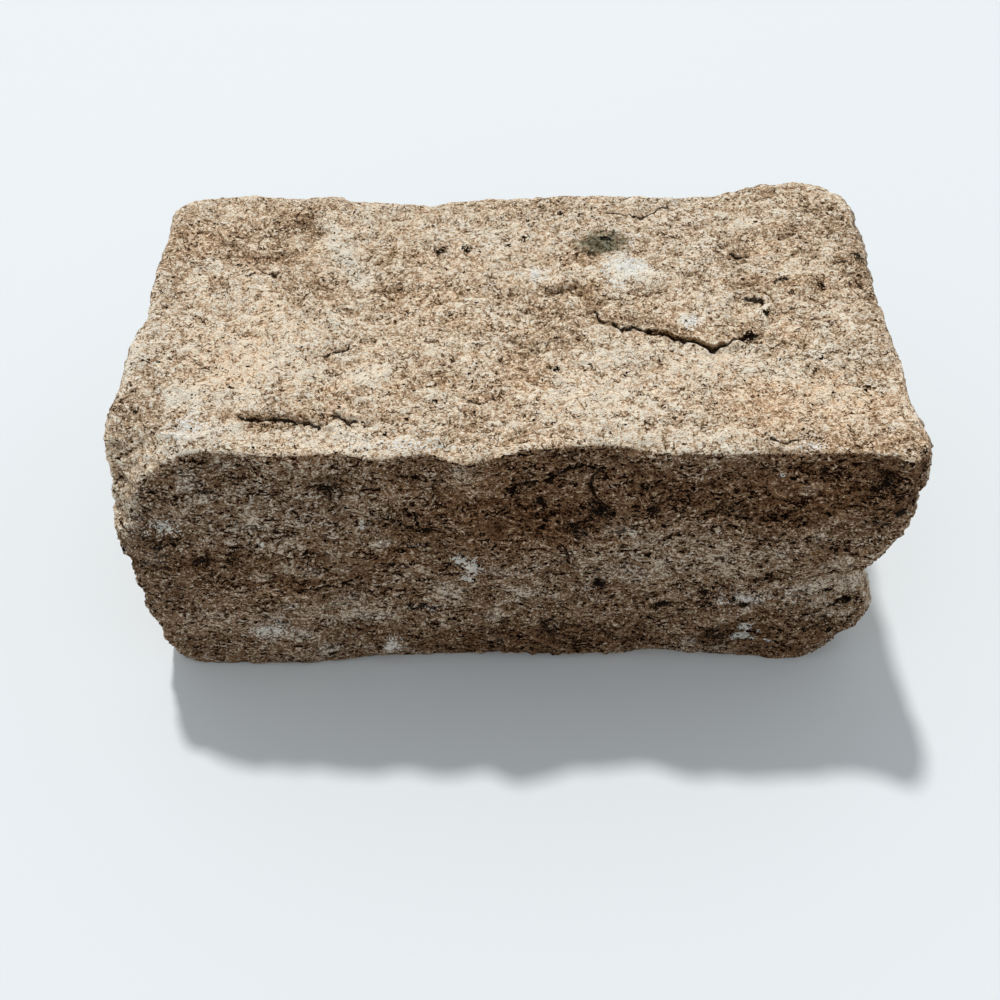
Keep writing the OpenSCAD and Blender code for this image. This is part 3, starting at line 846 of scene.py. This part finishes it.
def layPatterns(board):
    # every pattern that the granite is put together from, and which face is which
    summed, share = board.summed, board.share

    def noises(name, vector):
        size, detail = granite["noises"][name]
        made = board.node("TexNoise", {"Vector": vector, "Scale": 1 / size, "Detail": detail})
        return made.outputs["Color"]

    def cells(size):
        made = board.node("TexVoronoi", {"Vector": bent, "Scale": 1 / size})
        return made.outputs["Distance"], made.outputs["Color"]

    def thread(value, width, where, low, high):  # a thin line along value's middle, where it is let
        off = board.math("ABSOLUTE", board.math("SUBTRACT", value, 0.5))
        return share(board.mask(off, width, 0.0), board.mask(where, low, high))

    place = board.node("TexCoord").outputs["Object"]
    lying = board.node("Mapping", {"Vector": place, "Scale": [s / mm for s in granite["stretch"]]},
                       vector_type="POINT").outputs["Vector"]
    swirl = board.vector("SUBTRACT", noises("bend", lying), (0.5, 0.5, 0.5))
    bent = board.vector("MULTIPLY_ADD", swirl, [granite["swirl"]] * 3, lying)
    laid = board.vector("MULTIPLY", bent, granite["strokeStretch"])

    found = SimpleNamespace()
    found.bigDistance, bigChance = cells(granite["bigCrystal"])
    found.bigShade, found.bigHue, _ = board.parts(bigChance)
    found.smallShade = board.parts(cells(granite["smallCrystal"])[1])[0]
    spin = board.vector("MULTIPLY", bigChance, (6.3, 6.3, 6.3))  # as far as a whole turn
    turned = board.node("VectorRotate", {"Vector": bent, "Rotation": spin}, rotation_type="EULER_XYZ")
    drawn = board.vector("MULTIPLY", turned.outputs[0], granite["fibreStretch"])
    found.fibres = board.parts(noises("fibre", drawn))[0]
    found.specks, found.speckHue, _ = board.parts(noises("speck", bent))
    found.clouds, found.cloudHue, found.patchy = board.parts(noises("cloud", lying))
    found.drift, found.driftHue, _ = board.parts(noises("drift", lying))
    found.grit, found.gritHue, _ = board.parts(noises("grit", lying))
    found.fleck, _, found.fleckWhere = board.parts(noises("fleck", bent))

    found.onFront = board.value("onFront")
    found.onTop = board.mask(summed(-0.25, (board.value("onTop"), 1.0), (found.specks, 0.5)), 0.3, 0.7)

    darkLine, paleLine, lineWhere = board.parts(noises("thread", bent))
    where = summed(0.0, (lineWhere, 1.0), (found.clouds, 1.0))
    # dark threads: painted shade in fine crevices; pale threads: painted highlights on crystal edges
    found.darkThread = thread(darkLine, 0.06, where, 1.02, 1.10)
    where = summed(0.0, (darkLine, -1.0), (found.clouds, 0.4))
    found.paleThread = thread(paleLine, 0.05, where, -0.35, -0.27)
    strokes, strokeWhere, _ = board.parts(noises("stroke", laid))
    where = summed(0.0, (strokeWhere, 1.0), (found.clouds, 0.6))
    found.darkStroke = share(board.mask(strokes, 0.54, 0.64), board.mask(where, 0.74, 0.88))
    pits = board.parts(noises("pit", laid))[0]
    pits = summed(0.0, (pits, 1.0), (found.onFront, 0.12), (found.clouds, 0.35))
    found.pits = board.mask(pits, 0.885, 0.915)
    return found


def layPatches(board, found):
    # the placed patches: crisp ones have ragged borders, and stains fade away in clouds
    summed = board.summed

    def patch(name, ragged, grainy, soft):
        field = summed(-0.5 - 0.5 * (ragged + grainy), (board.value(name), 1.0), (found.grit, ragged),
                       (found.specks, grainy))
        return board.mask(field, -soft, soft)

    def stain(name, low, high):
        field = summed(0.0, (board.value(name), 1.0), (found.clouds, 0.9), (found.specks, 0.5))
        return board.mask(field, low, high)

    found.pale = stain("pale", 0.95, 1.6)
    found.bare = stain("bare", 0.95, 1.4)
    found.white = patch("white", 1.2, 1.2, 0.35)
    found.moss = patch("moss", 1.2, 0.8, 0.3)
    found.black = patch("black", 1.2, 2.4, 0.06)
    found.crack = board.mask(summed(board.value("lineDistance"), (found.specks, 0.9)), 1.6, 1.0)


def layShade(board, found):
    # from dark crystals to pale ones, broken up by fine specks
    summed, share = board.summed, board.share
    # broad tones: partly the stone's own tone, partly painted shade of hollows and scarps
    light = summed(-0.85, (board.value("light"), 1.0), (found.clouds, 0.8), (found.drift, 0.9))
    shade = summed(-0.47, (found.bigShade, 0.08), (found.smallShade, 0.29), (found.specks, 0.70),
                   (found.fibres, 1.00), (found.grit, 0.10))
    shade = summed(shade, (light, granite["lighter"]))
    # painted shade in fine crevices, under small flakes and in pits, and painted highlights on crystal
    # edges
    shade = summed(shade, (found.darkThread, -0.42), (found.paleThread, 0.30), (found.darkStroke, -0.16),
                   (found.pits, -0.50))
    # darker in the small hollows and broad basins: partly dirt, partly painted shade
    shade = summed(shade, (board.value("hollow"), -0.11), (board.value("basin"), -0.07))
    evener = summed(0.40, (found.smallShade, -1.0), (found.grit, -0.4), (found.specks, 0.6))
    shade = summed(shade, (share(evener, found.onFront), 0.20))  # the front's crystals differ less
    # pale and white places lighter, moss darker, and the arrises a little paler: partly wear, partly
    # painted highlight
    return summed(shade, (found.pale, 0.12), (found.white, 0.02), (found.moss, -0.08),
                  (board.value("rim"), 0.02))


def layColour(board, found):
    summed, share = board.summed, board.share

    def tinted(colour, amount, tint, blend="MULTIPLY"):
        return board.mixed(amount, colour, (*granite[tint], 1), blend)

    # the top takes the pale colours, the front the dark brown ones, and the rest lies between
    shade = layShade(board, found)
    weather = summed(granite["sideWeather"], (found.onFront, 1 - granite["sideWeather"]))
    weather = share(weather, board.math("SUBTRACT", 1.0, found.onTop))
    weather = share(weather, board.math("SUBTRACT", 1.0, found.bare))
    clean = board.ramp(shade, granite["clean"])
    weathered = board.ramp(shade, granite["weathered"])
    colour = board.mixed(weather, clean, weathered)

    # some of it is warmer and some cooler, and the quartz is greyer
    warmth = summed(-0.85, (board.value("warm"), 0.5), (found.driftHue, 1.0), (found.cloudHue, 0.9),
                    (found.bigHue, 0.24), (found.grit, 0.5))
    hue = board.ramp(warmth, [(0.0, granite["cool"]), (0.5, (1, 1, 1)), (1.0, granite["warm"])])
    colour = board.mixed(1.0, colour, hue, "MULTIPLY")
    quartz = summed(0.0, (found.bigHue, -0.4), (found.gritHue, 0.6), (found.patchy, 0.7))
    colour = tinted(colour, share(board.mask(quartz, 0.42, 0.64), 0.25), "quartz")

    # pale and white places, and the mossy stain
    whiteness = summed(0.0, (found.smallShade, 0.5), (found.fibres, 1.5), (found.white, 0.75),
                       (share(found.white, found.onFront), 0.25), (found.pale, 0.40))
    whiteCrystals = board.mask(whiteness, 1.74, 1.84)
    colour = tinted(colour, share(found.pale, weather), "paleCoat", "SCREEN")
    colour = tinted(colour, share(whiteCrystals, summed(0.95, (found.onFront, -0.3))), "white", "MIX")
    colour = tinted(colour, found.moss, "moss")

    # black mica: single ragged flecks, small dots, and the black patches
    where = summed(0.0, (found.fleckWhere, 1.0), (found.clouds, 0.5))
    flecks = share(board.mask(found.fleck, 0.655, 0.675), board.mask(where, 0.72, 0.78))
    where = summed(0.0, (found.patchy, 1.0), (found.gritHue, 0.6))
    dots = share(board.mask(found.speckHue, 0.70, 0.73), board.mask(where, 0.82, 0.92))
    mica = board.math("MAXIMUM", flecks, board.math("MAXIMUM", dots, found.black))
    colour = tinted(colour, mica, "black", "MIX")

    # painted shade on the tall risers, and the cracks at the foot of the ledges
    fresh = board.mask(summed(0.0, (board.value("riser"), 1.0), (found.specks, 0.5)), 0.5, 0.9)
    colour = tinted(colour, fresh, "riser")
    return tinted(colour, share(found.crack, 0.92), "crack", "MIX")


def makeGranite():
    board = NodeBoard("splitGranite")
    found = layPatterns(board)
    layPatches(board, found)
    colour = layColour(board, found)

    # fine relief under the size of the net
    relief = board.summed(0.0, (found.bigDistance, 0.4), (found.smallShade, 0.35), (found.specks, 1.0),
                          (found.grit, 0.9), (found.darkThread, -0.5), (found.crack, -0.8))
    bump = board.node("Bump", {"Height": relief, "Strength": granite["bumpStrength"],
                               "Distance": granite["bumpHeight"] * mm})
    return board.finish({"Base Color": colour, "Roughness": granite["roughness"],
                         "Specular IOR Level": granite["gloss"], "Normal": bump.outputs["Normal"]})


# A pale floor, and a pale backdrop colour all round.
studio = {
    "floorSize": 12.0,
    "floorColour": (0.80, 0.83, 0.84),
    "floorRoughness": 0.7,
    "backdropColour": (0.82, 0.85, 0.86),
    "skyStrength": 0.52,
    "skyColour": (0.94, 0.99, 1.03),
    "sunStrength": 1.88,
    "sunAngle": 4.0,
    "sunTravel": (18, -60, -126),
}


def makeFloor():
    mesh = bpy.data.meshes.new("studioFloor")
    half = studio["floorSize"] / 2
    corners = [(-half, -half, 0), (half, -half, 0), (half, half, 0), (-half, half, 0)]
    mesh.from_pydata(corners, [], [(0, 1, 2, 3)])
    floor = bpy.data.objects.new("studioFloor", mesh)
    scene.collection.objects.link(floor)
    board = NodeBoard("paleFloor")
    mesh.materials.append(board.finish({"Base Color": (*studio["floorColour"], 1),
                                        "Roughness": studio["floorRoughness"]}))


def makeSun():
    lamp = bpy.data.lights.new("keySun", "SUN")
    lamp.energy = studio["sunStrength"]
    lamp.angle = radians(studio["sunAngle"])
    sun = bpy.data.objects.new("keySun", lamp)
    sun.rotation_euler = Vector(studio["sunTravel"]).to_track_quat("-Z", "Y").to_euler()
    scene.collection.objects.link(sun)


def makeSky():
    # soft light from all round, with the backdrop colour where the sky itself is seen
    world = bpy.data.worlds.new("softSky")
    world.use_nodes = True
    scene.world = world
    tree = world.node_tree
    tree.nodes.clear()
    sky = tree.nodes.new("ShaderNodeBackground")
    sky.inputs["Color"].default_value = (*studio["skyColour"], 1)
    sky.inputs["Strength"].default_value = studio["skyStrength"]
    backdrop = tree.nodes.new("ShaderNodeBackground")
    backdrop.inputs["Color"].default_value = (*studio["backdropColour"], 1)
    path = tree.nodes.new("ShaderNodeLightPath")
    seen = path.outputs["Is Camera Ray"]
    for ray in ("Is Glossy Ray", "Is Transmission Ray"):
        either = tree.nodes.new("ShaderNodeMath")
        either.operation = "MAXIMUM"
        tree.links.new(seen, either.inputs[0])
        tree.links.new(path.outputs[ray], either.inputs[1])
        seen = either.outputs[0]
    mix = tree.nodes.new("ShaderNodeMixShader")
    output = tree.nodes.new("ShaderNodeOutputWorld")
    tree.links.new(seen, mix.inputs[0])
    tree.links.new(sky.outputs[0], mix.inputs[1])
    tree.links.new(backdrop.outputs[0], mix.inputs[2])
    tree.links.new(mix.outputs[0], output.inputs["Surface"])


# The eye is in front of the stone and above it, and looks down on it.
view = {
    "place": (5.4, -324.3, 399.4),
    "pitch": 50.2,  # down from level
    "heading": 1.8,  # to the left of straight ahead
    "roll": -1.8,
    "lens": 39.6,
    "sensor": 36,
}


def makeCamera():
    lens = bpy.data.cameras.new("viewCamera")
    lens.lens = view["lens"]
    lens.sensor_width = view["sensor"]
    lens.clip_start = 0.01
    camera = bpy.data.objects.new("viewCamera", lens)
    camera.location = Vector(view["place"]) * mm
    aim = Euler((radians(90 - view["pitch"]), 0, radians(view["heading"]))).to_quaternion()
    camera.rotation_mode = "QUATERNION"
    camera.rotation_quaternion = aim @ Quaternion((0, 0, 1), radians(view["roll"]))
    scene.collection.objects.link(camera)
    scene.camera = camera


block = makeStone()
block.data.materials.clear()
block.data.materials.append(makeGranite())
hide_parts(stoneNode)
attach(block, "root")
print("granite laid on")

makeFloor()
makeSun()
makeSky()
makeCamera()
print("studio set up")
